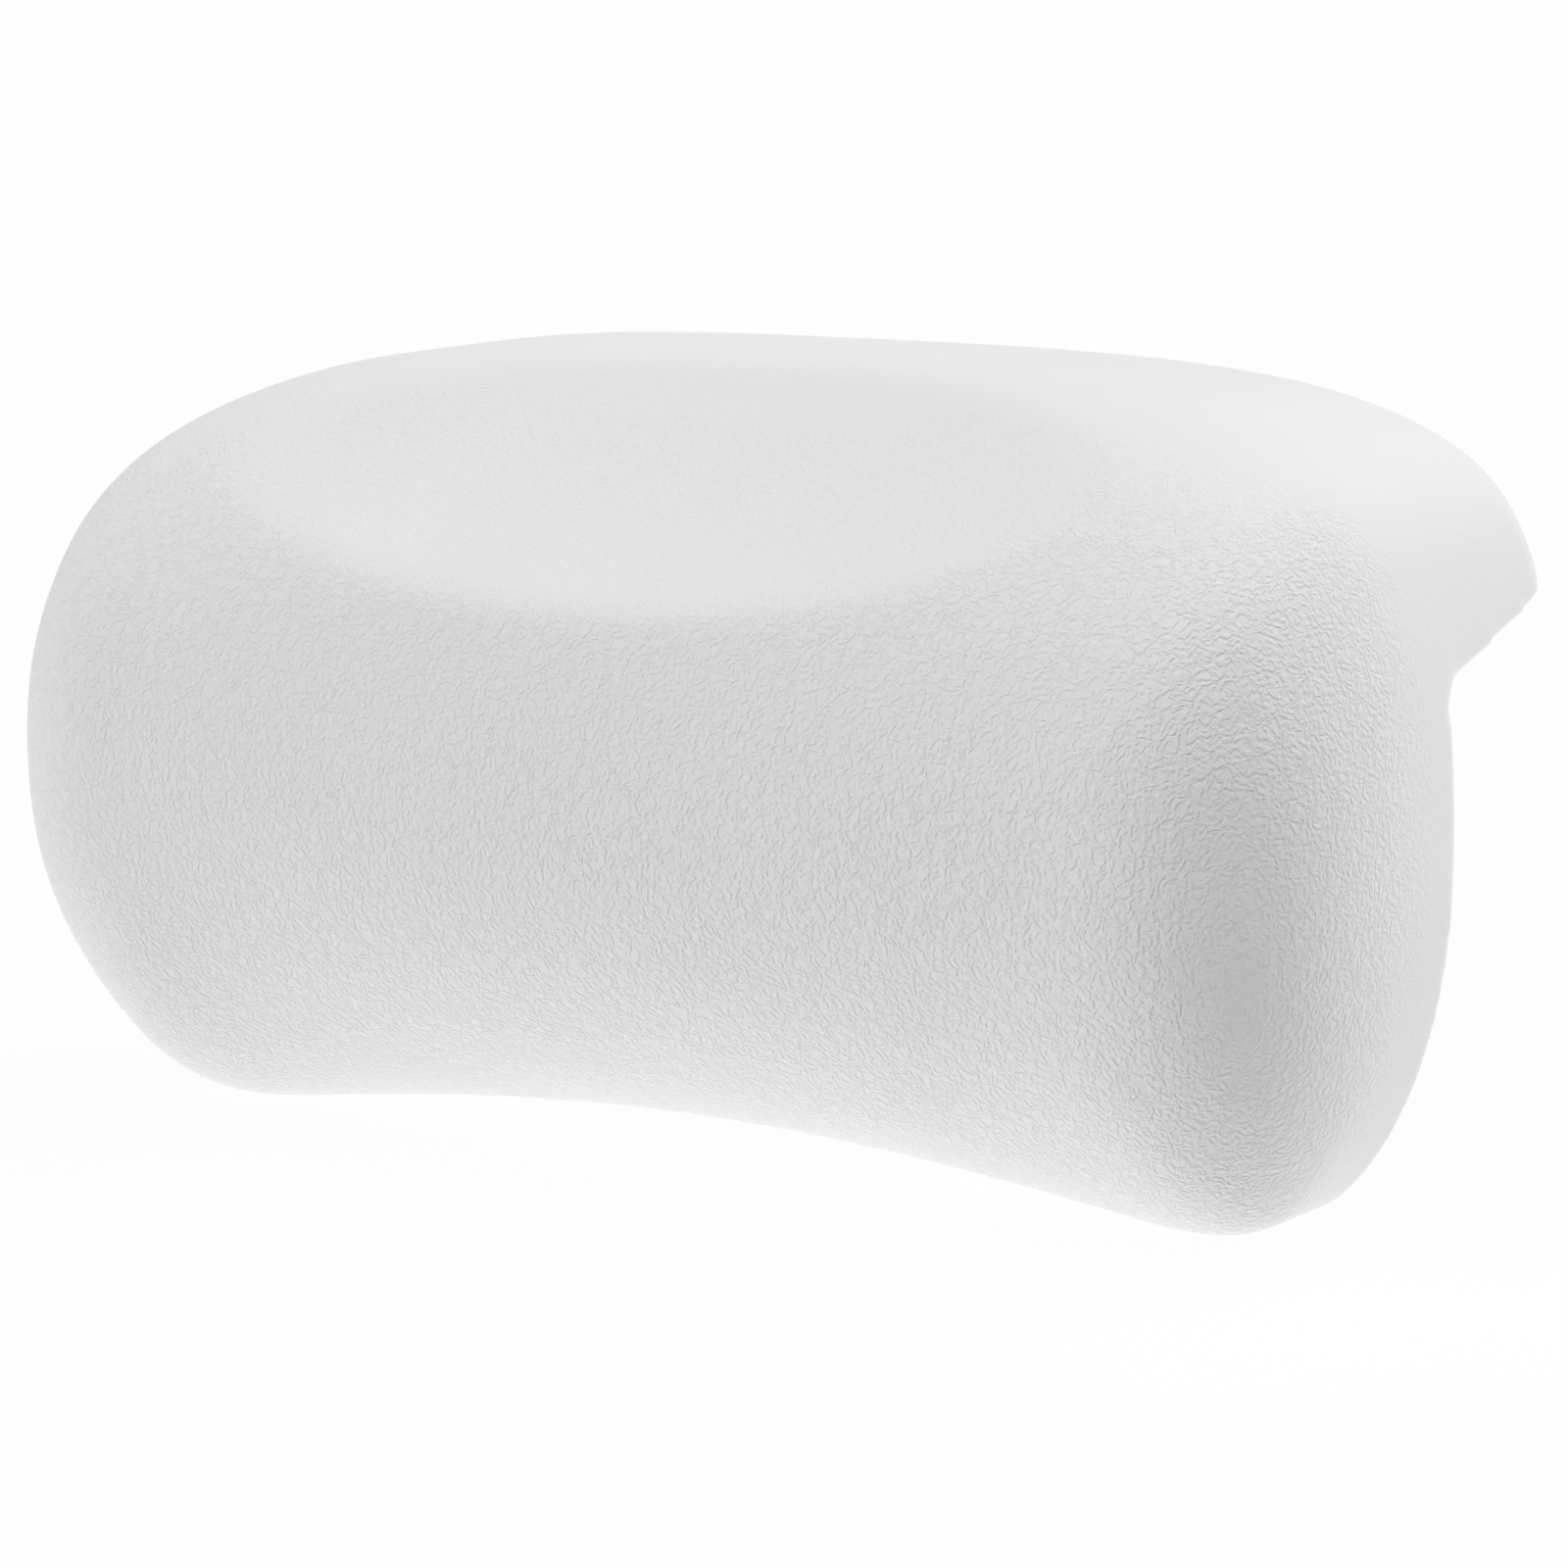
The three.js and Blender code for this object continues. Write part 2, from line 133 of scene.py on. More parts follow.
# How finely the pieces are drawn; points nearer than the weld distance become one
SKIN_FINENESS = {"stations": 180, "quarter_steps": 70, "edge_steps": 8}
INSIDE_FINENESS = {"stations": 72, "quarter_steps": 24, "edge_steps": 4}
SKIN_GRID = 1.1
SKIN_SMOOTHING = 10
LIP_SMOOTHING = 60
SMOOTHING_PULL = 0.5
ARC_STEPS = 10
ROUND_STEPS = 96
MOULDED_EDGE = 0.45
EDGE_ROUND_STEPS = 4
WELD_DISTANCE = 0.001
SLIVER_LENGTH = 0.0001
AXIS_RADIUS = 1e-6
PAST = 5.0

# Places that follow from the sizes and from the frame
skin_low, skin_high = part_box("grained_skin")
socket_low, socket_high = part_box("keyhole_socket_1")
half_width = (skin_high.x - skin_low.x) / MM / 2
notch_angle = math.radians(NOTCH_SLOPE)
notch_tilt = math.tan(notch_angle)
socket_z = (NOTCH_HEIGHT - ARCH_DEPTH) / 2
back_face_y = skin_high.y - LIP_REACH * MM
end_tip_z = (socket_low.z + socket_high.z) / 2 - socket_z * MM
drawing_origin = Vector((0, back_face_y, end_tip_z))
socket_count = sum(name.startswith("keyhole_socket_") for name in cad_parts)
plate_face_y = -WELL_DEPTH
collar_end_y = plate_face_y - PLATE_EDGE_THICKNESS
flange_face_y = collar_end_y - FIT_GAP
plate_front_y = flange_face_y - PLATE_FLANGE_THICKNESS
socket_seat_y = plate_face_y + FIT_GAP
socket_face_y = socket_seat_y + SOCKET_FLANGE_THICKNESS
pocket_top_y = socket_face_y - KEYHOLE_WALL
head_top_y = pocket_top_y - FIT_GAP
head_end_y = head_top_y - STUD_HEAD_THICKNESS
pocket_end_y = head_end_y - POCKET_SPARE_DEPTH
socket_end_y = pocket_end_y - SOCKET_FLOOR
stud_collar_y = socket_face_y + FIT_GAP
stud_shoulder_y = stud_collar_y + STUD_COLLAR_THICKNESS
cup_neck_y = stud_shoulder_y + FIT_GAP
cup_rim_y = cup_neck_y + CUP_HEIGHT
pocket_radius = STUD_HEAD_RADIUS + POCKET_GAP
slot_radius = STUD_NECK_RADIUS + FIT_GAP
barrel_radius = HANG_TRAVEL / 2 + pocket_radius + SOCKET_WALL


def middle(node):
    """Middle of a node's box in the drawing, as x and z in millimetres."""
    low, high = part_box(node)
    spot = ((low + high) / 2 - drawing_origin) / MM
    return spot.x, spot.z


def hollow_directions():
    """Out of the head hollow, and up its slope."""
    lean = math.radians(HOLLOW_LEAN)
    return np.array([0, -math.cos(lean), math.sin(lean)]), np.array([0, math.sin(lean), math.cos(lean)])


socket_places = [middle(f"keyhole_socket_{number}") for number in range(1, socket_count + 1)]
cup_places = [middle(f"suction_cup_{number}") for number in range(1, socket_count + 1)]
well_length = 2 * (max(x for x, z in socket_places) + SOCKET_FLANGE_RADIUS + WELL_END_MARGIN)
well_height = 2 * (SOCKET_FLANGE_RADIUS + WELL_SIDE_MARGIN)


class Value:
    """A shader socket that can stand in a Python sum; each sum adds a Math node."""

    def __init__(self, tree, socket):
        self.tree = tree
        self.socket = socket

    def node(self, kind, settings, inputs, output=0):
        """Any other node: its settings first, then the values or links of its sockets."""
        made = self.tree.nodes.new(kind)
        for name, setting in settings.items():
            setattr(made, name, setting)
        for name, value in inputs.items():
            if isinstance(value, Value):
                self.tree.links.new(value.socket, made.inputs[name])
            else:
                made.inputs[name].default_value = value
        return Value(self.tree, made.outputs[output])

    def sum(self, operation, first, second):
        return self.node("ShaderNodeMath", {"operation": operation}, {0: first, 1: second})

    def __add__(self, other):
        return self.sum("ADD", self, other)

    def __radd__(self, other):
        return self.sum("ADD", other, self)

    def __sub__(self, other):
        return self.sum("SUBTRACT", self, other)

    def __rsub__(self, other):
        return self.sum("SUBTRACT", other, self)

    def __mul__(self, other):
        return self.sum("MULTIPLY", self, other)

    def __rmul__(self, other):
        return self.sum("MULTIPLY", other, self)


def open_tree(tree):
    """Empties a node tree and returns its coordinates node as values."""
    tree.nodes.clear()
    place = tree.nodes.new("ShaderNodeTexCoord")
    return Value(tree, place.outputs["Object"]), Value(tree, place.outputs["Generated"])


def noise(place, scale, detail=2.0, roughness=0.5, output="Fac"):
    inputs = {"Vector": place, "Scale": scale, "Detail": detail, "Roughness": roughness}
    return place.node("ShaderNodeTexNoise", {"noise_dimensions": "3D"}, inputs, output)


def spread(value, low, high, to_low=0.0, to_high=1.0):
    """Values from low to high, drawn out to another range and held there."""
    inputs = {"Value": value, "From Min": low, "From Max": high, "To Min": to_low, "To Max": to_high}
    return value.node("ShaderNodeMapRange", {"interpolation_type": "SMOOTHSTEP"}, inputs)


def tint(share, dark, light):
    """A colour between two colours."""
    inputs = {0: share, 6: (*dark, 1), 7: (*light, 1)}
    return share.node("ShaderNodeMix", {"data_type": "RGBA"}, inputs, 2)


def finish(name, paint):
    """A material whose surface sockets come from paint, given the place on the piece."""
    material = bpy.data.materials.new(name)
    material.use_nodes = True
    place, _ = open_tree(material.node_tree)
    sockets, height, depth = paint(place)
    relief = {"Height": height, "Distance": depth}
    sockets["Normal"] = place.node("ShaderNodeBump", {}, relief, "Normal")
    surface = place.node("ShaderNodeBsdfPrincipled", {}, sockets)
    link_surface(place, surface)
    return material


def link_surface(place, surface):
    end = place.tree.nodes.new("ShaderNodeOutputMaterial")
    place.tree.links.new(surface.socket, end.inputs["Surface"])


# White moulded skin: short wrinkles in every direction, pressed smooth in the head hollow,
# and fainter where the skin faces up and where it comes near the back
WRINKLES_PER_METRE = 960.0
WRINKLE_SWAYS_PER_METRE = 350.0
WRINKLE_SWAY = 0.0022
WRINKLE_EDGES = (0.33, 0.67)
NOISE_MIDDLE = (0.5, 0.5, 0.5)
WRINKLE_HEIGHT = 0.00018
PORES_PER_METRE = 3200.0
PORE_SHARE = 0.2
CLOUDS_PER_METRE = 28.0
FAINT_FACING = (0.75, 0.97)
FAINT_NEAR_BACK = (-30.0, -5.0)
FAINT_SHARE = 0.35
NEAR_BACK_SHARE = 0.12
SMOOTH_UNDER_BOWL = (1.5, 0.4)
SMOOTH_SHARE = 0.6
SKIN_DARK = (0.84, 0.84, 0.84)
SKIN_LIGHT = (0.87, 0.87, 0.87)
SKIN_ROUGHNESS = 0.5
SKIN_PORE_ROUGHNESS = 0.12
SKIN_GLOSS = 0.3


def part_of(vector, axis):
    return vector.node("ShaderNodeSeparateXYZ", {}, {"Vector": vector}, axis)


def vector_sum(operation, first, second):
    return first.node("ShaderNodeVectorMath", {"operation": operation}, {0: first, 1: second})


def along(vector, direction):
    inputs = {0: vector, 1: direction}
    return vector.node("ShaderNodeVectorMath", {"operation": "DOT_PRODUCT"}, inputs, "Value")


def under_bowl(place):
    """How far the skin lies under the bowl that presses the head hollow: nothing inside the hollow."""
    outward, up_slope = hollow_directions()
    spot = vector_sum("SUBTRACT", place, drawing_origin)
    upward = along(spot, up_slope) - HOLLOW_RISE * MM
    across = part_of(spot, "X")
    across_bend = across * across * (0.5 / (HOLLOW_RADIUS_ACROSS * MM))
    along_bend = upward * upward * (0.5 / (HOLLOW_RADIUS_ALONG * MM))
    return across_bend + along_bend + HOLLOW_DEPTH_LINE * MM - along(spot, outward)


def paint_skin(place):
    sway = noise(place, WRINKLE_SWAYS_PER_METRE, detail=0.0, output="Color")
    drift = vector_sum("SUBTRACT", sway, NOISE_MIDDLE)
    swayed = place.node(
        "ShaderNodeVectorMath",
        {"operation": "MULTIPLY_ADD"},
        {0: drift, 1: (WRINKLE_SWAY, WRINKLE_SWAY, WRINKLE_SWAY), 2: place},
    )
    wrinkles = spread(noise(swayed, WRINKLES_PER_METRE, detail=1.0), *WRINKLE_EDGES)
    facing = part_of(place.node("ShaderNodeTexCoord", {}, {}, "Normal"), "Z")
    near_back = [drawing_origin.y + depth * MM for depth in FAINT_NEAR_BACK]
    bowl_edge = [depth * MM for depth in SMOOTH_UNDER_BOWL]
    upward_share = spread(facing, *FAINT_FACING, 1, FAINT_SHARE)
    backward_share = spread(part_of(place, "Y"), *near_back, 1, NEAR_BACK_SHARE)
    grained = upward_share * backward_share
    pressed = spread(under_bowl(place), *bowl_edge, 1, SMOOTH_SHARE)
    pores = noise(place, PORES_PER_METRE)
    cloud = noise(place, CLOUDS_PER_METRE, detail=3.0)
    sockets = {
        "Base Color": tint(cloud, SKIN_DARK, SKIN_LIGHT),
        "Roughness": SKIN_ROUGHNESS + SKIN_PORE_ROUGHNESS * pores,
        "Specular IOR Level": SKIN_GLOSS,
    }
    return sockets, wrinkles * grained * pressed + PORE_SHARE * pores, WRINKLE_HEIGHT


# Cream foam: open cells and a slow drift of colour
FOAM_CELLS_PER_METRE = 1100.0
FOAM_CELL_DEPTH = 0.0004
FOAM_CLOUDS_PER_METRE = 60.0
FOAM_DARK = (0.86, 0.78, 0.6)
FOAM_LIGHT = (0.93, 0.87, 0.72)
FOAM_ROUGHNESS = 0.85
FOAM_CLOUD_ROUGHNESS = 0.1


def paint_foam(place):
    inputs = {"Vector": place, "Scale": FOAM_CELLS_PER_METRE}
    cells = place.node("ShaderNodeTexVoronoi", {"feature": "F1"}, inputs, "Distance")
    cloud = noise(place, FOAM_CLOUDS_PER_METRE, detail=4.0)
    sockets = {
        "Base Color": tint(cloud, FOAM_DARK, FOAM_LIGHT),
        "Roughness": FOAM_ROUGHNESS + FOAM_CLOUD_ROUGHNESS * cloud,
    }
    return sockets, cells, FOAM_CELL_DEPTH


# Grey moulded plate: a fine spark texture and faint flow of the plastic
PLATE_SPARKS_PER_METRE = 2600.0
PLATE_SPARK_DEPTH = 0.00006
PLATE_FLOWS_PER_METRE = 35.0
PLATE_DARK = (0.69, 0.7, 0.71)
PLATE_LIGHT = (0.75, 0.76, 0.77)
PLATE_ROUGHNESS = 0.42
PLATE_SPARK_ROUGHNESS = 0.2


def paint_plate(place):
    spark = noise(place, PLATE_SPARKS_PER_METRE, detail=3.0)
    flow = noise(place, PLATE_FLOWS_PER_METRE, detail=3.0)
    sockets = {
        "Base Color": tint(flow, PLATE_DARK, PLATE_LIGHT),
        "Roughness": PLATE_ROUGHNESS + PLATE_SPARK_ROUGHNESS * spark,
    }
    return sockets, spark, PLATE_SPARK_DEPTH


# Grey socket plastic, darker and a little smoother than the plate
SOCKET_SPARKS_PER_METRE = 3200.0
SOCKET_SPARK_DEPTH = 0.00004
SOCKET_FLOWS_PER_METRE = 90.0
SOCKET_DARK = (0.56, 0.57, 0.58)
SOCKET_LIGHT = (0.63, 0.64, 0.65)
SOCKET_ROUGHNESS = 0.36
SOCKET_SPARK_ROUGHNESS = 0.16


def paint_socket(place):
    spark = noise(place, SOCKET_SPARKS_PER_METRE, detail=2.0)
    flow = noise(place, SOCKET_FLOWS_PER_METRE, detail=3.0)
    sockets = {
        "Base Color": tint(flow, SOCKET_DARK, SOCKET_LIGHT),
        "Roughness": SOCKET_ROUGHNESS + SOCKET_SPARK_ROUGHNESS * spark,
    }
    return sockets, spark, SOCKET_SPARK_DEPTH


# White stud plastic with swirls from moulding
STUD_SWIRLS_PER_METRE = 240.0
STUD_SWIRL_DEPTH = 0.00003
STUD_DARK = (0.82, 0.83, 0.83)
STUD_LIGHT = (0.88, 0.89, 0.89)
STUD_ROUGHNESS = 0.26
STUD_SWIRL_ROUGHNESS = 0.12


def paint_stud(place):
    swirl = noise(place, STUD_SWIRLS_PER_METRE, detail=4.0, roughness=0.6)
    sockets = {
        "Base Color": tint(swirl, STUD_DARK, STUD_LIGHT),
        "Roughness": STUD_ROUGHNESS + STUD_SWIRL_ROUGHNESS * swirl,
    }
    return sockets, swirl, STUD_SWIRL_DEPTH


# Clear cup plastic with a cool tint and a slight haze
CUP_HAZES_PER_METRE = 180.0
CUP_HAZE_DEPTH = 0.00005
CUP_DARK = (0.86, 0.92, 0.94)
CUP_LIGHT = (0.93, 0.97, 0.98)
CUP_ROUGHNESS = 0.1
CUP_HAZE_ROUGHNESS = 0.12
CUP_CLEARNESS = 0.8
CUP_BENDING = 1.45


def paint_cup(place):
    haze = noise(place, CUP_HAZES_PER_METRE, detail=4.0, roughness=0.6)
    sockets = {
        "Base Color": tint(haze, CUP_DARK, CUP_LIGHT),
        "Roughness": CUP_ROUGHNESS + CUP_HAZE_ROUGHNESS * haze,
        "Transmission Weight": CUP_CLEARNESS,
        "IOR": CUP_BENDING,
    }
    return sockets, haze, CUP_HAZE_DEPTH


finishes = {
    "skin": finish("white_grained_skin", paint_skin),
    "foam": finish("cream_foam", paint_foam),
    "plate": finish("grey_moulded_plate", paint_plate),
    "socket": finish("grey_socket_plastic", paint_socket),
    "stud": finish("white_stud_plastic", paint_stud),
    "cup": finish("clear_cup_plastic", paint_cup),
}


def to_frame(points):
    """Points of the drawing, in the frame."""
    return np.asarray(points, float) * MM + np.array(drawing_origin)


def make_piece(name, points, faces):
    mesh = bpy.data.meshes.new(name)
    mesh.from_pydata(to_frame(points).tolist(), [], [list(map(int, face)) for face in faces])
    piece = bpy.data.objects.new(name, mesh)
    bpy.context.scene.collection.objects.link(piece)
    return piece


def edit(piece):
    shape = bmesh.new()
    shape.from_mesh(piece.data)
    return shape


def keep(piece, shape):
    bmesh.ops.recalc_face_normals(shape, faces=shape.faces)
    shape.to_mesh(piece.data)
    shape.free()


def settle(piece):
    """Takes what a piece's modifiers make of it as its own mesh."""
    graph = bpy.context.evaluated_depsgraph_get()
    made = bpy.data.meshes.new_from_object(piece.evaluated_get(graph))
    piece.modifiers.clear()
    drawn = piece.data
    piece.data = made
    bpy.data.meshes.remove(drawn)


def carve(piece, cutter):
    cut = piece.modifiers.new("carve", "BOOLEAN")
    cut.operation = "DIFFERENCE"
    cut.solver = "EXACT"
    cut.object = cutter
    settle(piece)
    bpy.data.objects.remove(cutter)


def blend_min(a, b, width):
    """Lower of two heights, rounded where they cross."""
    share = np.clip(0.5 + 0.5 * (b - a) / width, 0, 1)
    return b + (a - b) * share - width * share * (1 - share)


def outline_edges(x):
    """Bottom and top edge of the back outline along the pillow."""
    from_middle = np.abs(x) / half_width
    into_end = np.clip((np.abs(x) - half_width) / END_LENGTH + 1, 0, 1)
    end_half = END_HALF_HEIGHT * (1 - into_end ** END_FULLNESS) ** (1 / END_FULLNESS)
    crown = CROWN_HEIGHT - CROWN_DROP * from_middle ** CROWN_CURVE
    arch = ARCH_DEPTH + ARCH_DROP * from_middle ** 2
    bottom = -blend_min(end_half, arch, OUTLINE_CORNER_BLEND)
    return bottom, blend_min(end_half, crown, OUTLINE_CORNER_BLEND)


def front_curves(x, z, quarter_steps, edge_steps):
    """Points from each outline point, round the back edge and over the front to the ridge."""
    ridge_x = x / (1 + np.abs(x / RIDGE_HALF_LENGTH) ** RIDGE_TURN) ** (1 / RIDGE_TURN)
    share = ridge_x / RIDGE_HALF_LENGTH
    ridge_y = -(FRONT_DEPTH - FRONT_BOW * share ** 2)
    ridge_z = RIDGE_HEIGHT + RIDGE_END_RISE * share ** 2
    reach = np.hypot(x - ridge_x, z - ridge_z)
    out_x, out_z = (x - ridge_x) / reach, (z - ridge_z) / reach
    side, above, below = out_x ** 2, np.maximum(out_z, 0) ** 2, np.minimum(out_z, 0) ** 2
    diagonal = (2 * out_x * out_z) ** 2
    fullness = side * END_FACE_FULLNESS + above * UPPER_FULLNESS + below * LOWER_FULLNESS
    fullness = fullness + diagonal * CORNER_FULLNESS
    top_start = LIP_REACH - LIP_EDGE_RADIUS - LIP_TOP_FLAT
    start_y = above * top_start - below * FOOT_DEPTH - side * END_EDGE_DEPTH
    edge = np.linspace(0, math.pi / 2, edge_steps + 1)[:, None]
    quarter = np.linspace(0, math.pi / 2, quarter_steps + 1)[:, None]
    out_share = np.maximum(np.cos(quarter), 0) ** (2 / fullness)
    out_share[-1] = 0
    front_share = np.sin(quarter) ** (2 / fullness)
    edge_y = np.broadcast_to(LIP_REACH - LIP_EDGE_RADIUS * (1 - np.cos(edge)), (edge_steps + 1, len(x)))
    across = np.concatenate([reach - LIP_EDGE_RADIUS * (1 - np.sin(edge)), reach * out_share])
    y = np.concatenate([edge_y, start_y + (ridge_y - start_y) * front_share])
    return np.stack([ridge_x + out_x * across, y, ridge_z + out_z * across], -1)


def press_hollow(points):
    outward, up_slope = hollow_directions()
    height = points @ outward
    upward = points @ up_slope - HOLLOW_RISE
    across = points[..., 0] ** 2 / (2 * HOLLOW_RADIUS_ACROSS)
    bowl = HOLLOW_DEPTH_LINE + across + upward ** 2 / (2 * HOLLOW_RADIUS_ALONG)
    return points + (blend_min(height, bowl, HOLLOW_EDGE_BLEND) - height)[..., None] * outward


def pillow_form(name, inset, stations, quarter_steps, edge_steps):
    """Whole pillow form without its notch, its surface drawn in by an inset."""
    x = -half_width * np.cos(np.linspace(0, math.pi, stations + 1))
    bottom, top = outline_edges(x)
    lower = front_curves(x, bottom, quarter_steps, edge_steps)
    upper = front_curves(x, top, quarter_steps, edge_steps)[::-1][1:]
    rings = press_hollow(np.concatenate([lower, upper]))
    size = len(rings)
    points = rings.transpose(1, 0, 2).reshape(-1, 3)
    faces = []
    for station in range(stations):
        for step in range(size):
            here = station * size + step
            above = station * size + (step + 1) % size
            faces.append((here, here + size, above + size, above))
    form = make_piece(name, points, faces)
    shape = edit(form)
    bmesh.ops.remove_doubles(shape, verts=shape.verts, dist=WELD_DISTANCE * MM)
    bmesh.ops.dissolve_degenerate(shape, edges=shape.edges, dist=SLIVER_LENGTH * MM)
    bmesh.ops.recalc_face_normals(shape, faces=shape.faces)
    shape.normal_update()
    drawn_in = [(vertex, vertex.co - vertex.normal * inset * MM) for vertex in shape.verts]
    for vertex, spot in drawn_in:
        vertex.co = spot
    keep(form, shape)
    return form


def arc(centre, radius, start, end, steps=ARC_STEPS):
    turn = np.radians(np.linspace(start, end, steps + 1))
    return np.stack([centre[0] + radius * np.cos(turn), centre[1] + radius * np.sin(turn)], 1)


def rim_space(inset):
    """Space for the tub's wall and rim, below the lip and behind the lower back."""
    far = 2 * half_width
    corner_z = NOTCH_HEIGHT + NOTCH_CORNER_RADIUS * (notch_tilt - 1 / math.cos(notch_angle))
    nose_y = LIP_REACH - LIP_NOSE_RADIUS
    nose_z = NOTCH_HEIGHT + notch_tilt * nose_y + LIP_NOSE_RADIUS / math.cos(notch_angle)
    corner = arc((NOTCH_CORNER_RADIUS, corner_z), NOTCH_CORNER_RADIUS + inset, 180, 90 + NOTCH_SLOPE)
    nose = arc((nose_y, nose_z), LIP_NOSE_RADIUS - inset, NOTCH_SLOPE - 90, 0)
    around = np.concatenate([[(far, -far), (-inset, -far)], corner, nose, [(far, nose_z)]])
    count = len(around)
    points = [(x, y, z) for x in (-far, far) for y, z in around]
    faces = [(i, (i + 1) % count, count + (i + 1) % count, count + i) for i in range(count)]
    faces += [tuple(range(count))[::-1], tuple(range(count, 2 * count))]
    cutter = make_piece("rim_space", points, faces)
    keep(cutter, edit(cutter))
    return cutter


def rounded_rectangle(length, height, radius, steps=ARC_STEPS):
    right, up = length / 2 - radius, height / 2 - radius
    corners = [(right, up, 0), (-right, up, 90), (-right, -up, 180), (right, -up, 270)]
    return np.concatenate([arc((x, z), radius, turn, turn + 90, steps) for x, z, turn in corners])


def well_outline(margin):
    length, height = well_length + 2 * margin, well_height + 2 * margin
    return rounded_rectangle(length, height, WELL_CORNER_RADIUS + margin) + (0, socket_z)


def circle(place, radius, steps=ROUND_STEPS):
    return arc(place, radius, 0, 360, steps)[:-1]


def prism(name, outline, back_y, front_y):
    """Solid along Y with an outline drawn in X and Z."""
    count = len(outline)
    points = [(x, y, z) for y in (front_y, back_y) for x, z in outline]
    faces = [(i, (i + 1) % count, count + (i + 1) % count, count + i) for i in range(count)]
    faces += [tuple(range(count))[::-1], tuple(range(count, 2 * count))]
    piece = make_piece(name, points, faces)
    keep(piece, edit(piece))
    return piece


def carve_pocket(piece, lining):
    """Room for the plate's flange and the socket barrels, behind a lining."""
    room = PLATE_FLANGE_WIDTH + FIT_GAP + lining
    back_y = PAST if lining else collar_end_y
    carve(piece, prism("flange_room", well_outline(room), back_y, plate_front_y - FIT_GAP - lining))
    for place in socket_places:
        barrel = circle(place, barrel_radius + FIT_GAP + lining)
        carve(piece, prism("barrel_room", barrel, plate_face_y, socket_end_y - FIT_GAP - lining))


def pillow_body(name, inset, fineness):
    body = pillow_form(name, inset, **fineness)
    carve(body, rim_space(inset))
    return body


def ground():
    """Space under the floor, which cuts the feet flat."""
    far = 2 * half_width
    floor_z = -drawing_origin.z / MM
    outline = [(-far, floor_z - far), (far, floor_z - far), (far, floor_z), (-far, floor_z)]
    return prism("ground", outline, far, -far)


def soften(piece, rounds, group=""):
    """Rounds off a piece's edges, all over or in one group of its points."""
    smooth = piece.modifiers.new("soft_edges", "SMOOTH")
    smooth.factor = SMOOTHING_PULL
    smooth.iterations = rounds
    smooth.vertex_group = group
    settle(piece)


def make_skin():
    """Moulded skin: rounded outside with the plate well, and a plain inner wall round the foam."""
    skin = pillow_body("pillow_skin", 0.0, SKIN_FINENESS)
    carve(skin, ground())
    carve(skin, prism("plate_well", well_outline(0), PAST, collar_end_y - FIT_GAP))
    carve_pocket(skin, 0)
    grid = skin.modifiers.new("even_grid", "REMESH")
    grid.mode = "VOXEL"
    grid.voxel_size = SKIN_GRID * MM
    soften(skin, SKIN_SMOOTHING)
    lip = skin.vertex_groups.new(name="lip")
    for vertex in skin.data.vertices:
        behind = (vertex.co.y - drawing_origin.y) / MM
        if behind > 0:
            lip.add([vertex.index], min(behind / NOTCH_CORNER_RADIUS, 1), "REPLACE")
    soften(skin, LIP_SMOOTHING, lip.name)
    skin.vertex_groups.clear()
    wall = pillow_body("inner_wall", SKIN_THICKNESS, INSIDE_FINENESS)
    carve_pocket(wall, SKIN_THICKNESS)
    wall.data.flip_normals()
    shape = edit(skin)
    shape.from_mesh(wall.data)
    shape.to_mesh(skin.data)
    shape.free()
    bpy.data.objects.remove(wall)
    return skin


def make_foam():
    foam = pillow_body("foam_core_block", SKIN_THICKNESS + FIT_GAP, INSIDE_FINENESS)
    carve_pocket(foam, SKIN_THICKNESS + FIT_GAP)
    return foam


def sweep(shape, outlines):
    """Joins a row of outlines, each a list of points, into a wall; returns the first and last loop."""
    loops = [[shape.verts.new(to_frame(point)) for point in outline] for outline in outlines]
    count = len(loops[0])
    for low, high in zip(loops, loops[1:]):
        for i in range(count):
            shape.faces.new((low[i], low[(i + 1) % count], high[(i + 1) % count], high[i]))
    return loops[0], loops[-1]


def cap(shape, *loops):
    """Flat face between an outer loop and the loops inside it."""
    edges = []
    for loop in loops:
        for first, second in zip(loop, loop[1:] + loop[:1]):
            edges.append(shape.edges.get((first, second)) or shape.edges.new((first, second)))
    bmesh.ops.triangle_fill(shape, edges=edges, use_beauty=True)


def at_depth(outline, y):
    return [(x, y, z) for x, z in outline]


def moulded_wall(shape, outline, offsets):
    """Wall of a moulded piece: its outline grown by each offset, at each depth."""
    return sweep(shape, [at_depth(outline(grown), y) for grown, y in offsets])


def rounded_profile(profile, radius):
    """Profile whose inner points are rounded off."""
    points = [np.array(point, float) for point in profile]
    done = [points[0]]
    for before, corner, after in zip(points, points[1:], points[2:]):
        back, on = before - corner, after - corner
        cut = min(radius, np.linalg.norm(back) / 2, np.linalg.norm(on) / 2)
        start = corner + back / np.linalg.norm(back) * cut
        end = corner + on / np.linalg.norm(on) * cut
        for share in np.linspace(0, 1, EDGE_ROUND_STEPS + 1):
            done.append((1 - share) ** 2 * start + 2 * share * (1 - share) * corner + share ** 2 * end)
    done.append(points[-1])
    return done


def finish_shape(name, shape):
    bmesh.ops.remove_doubles(shape, verts=shape.verts, dist=WELD_DISTANCE * MM)
    mesh = bpy.data.meshes.new(name)
    piece = bpy.data.objects.new(name, mesh)
    bpy.context.scene.collection.objects.link(piece)
    keep(piece, shape)
    return piece


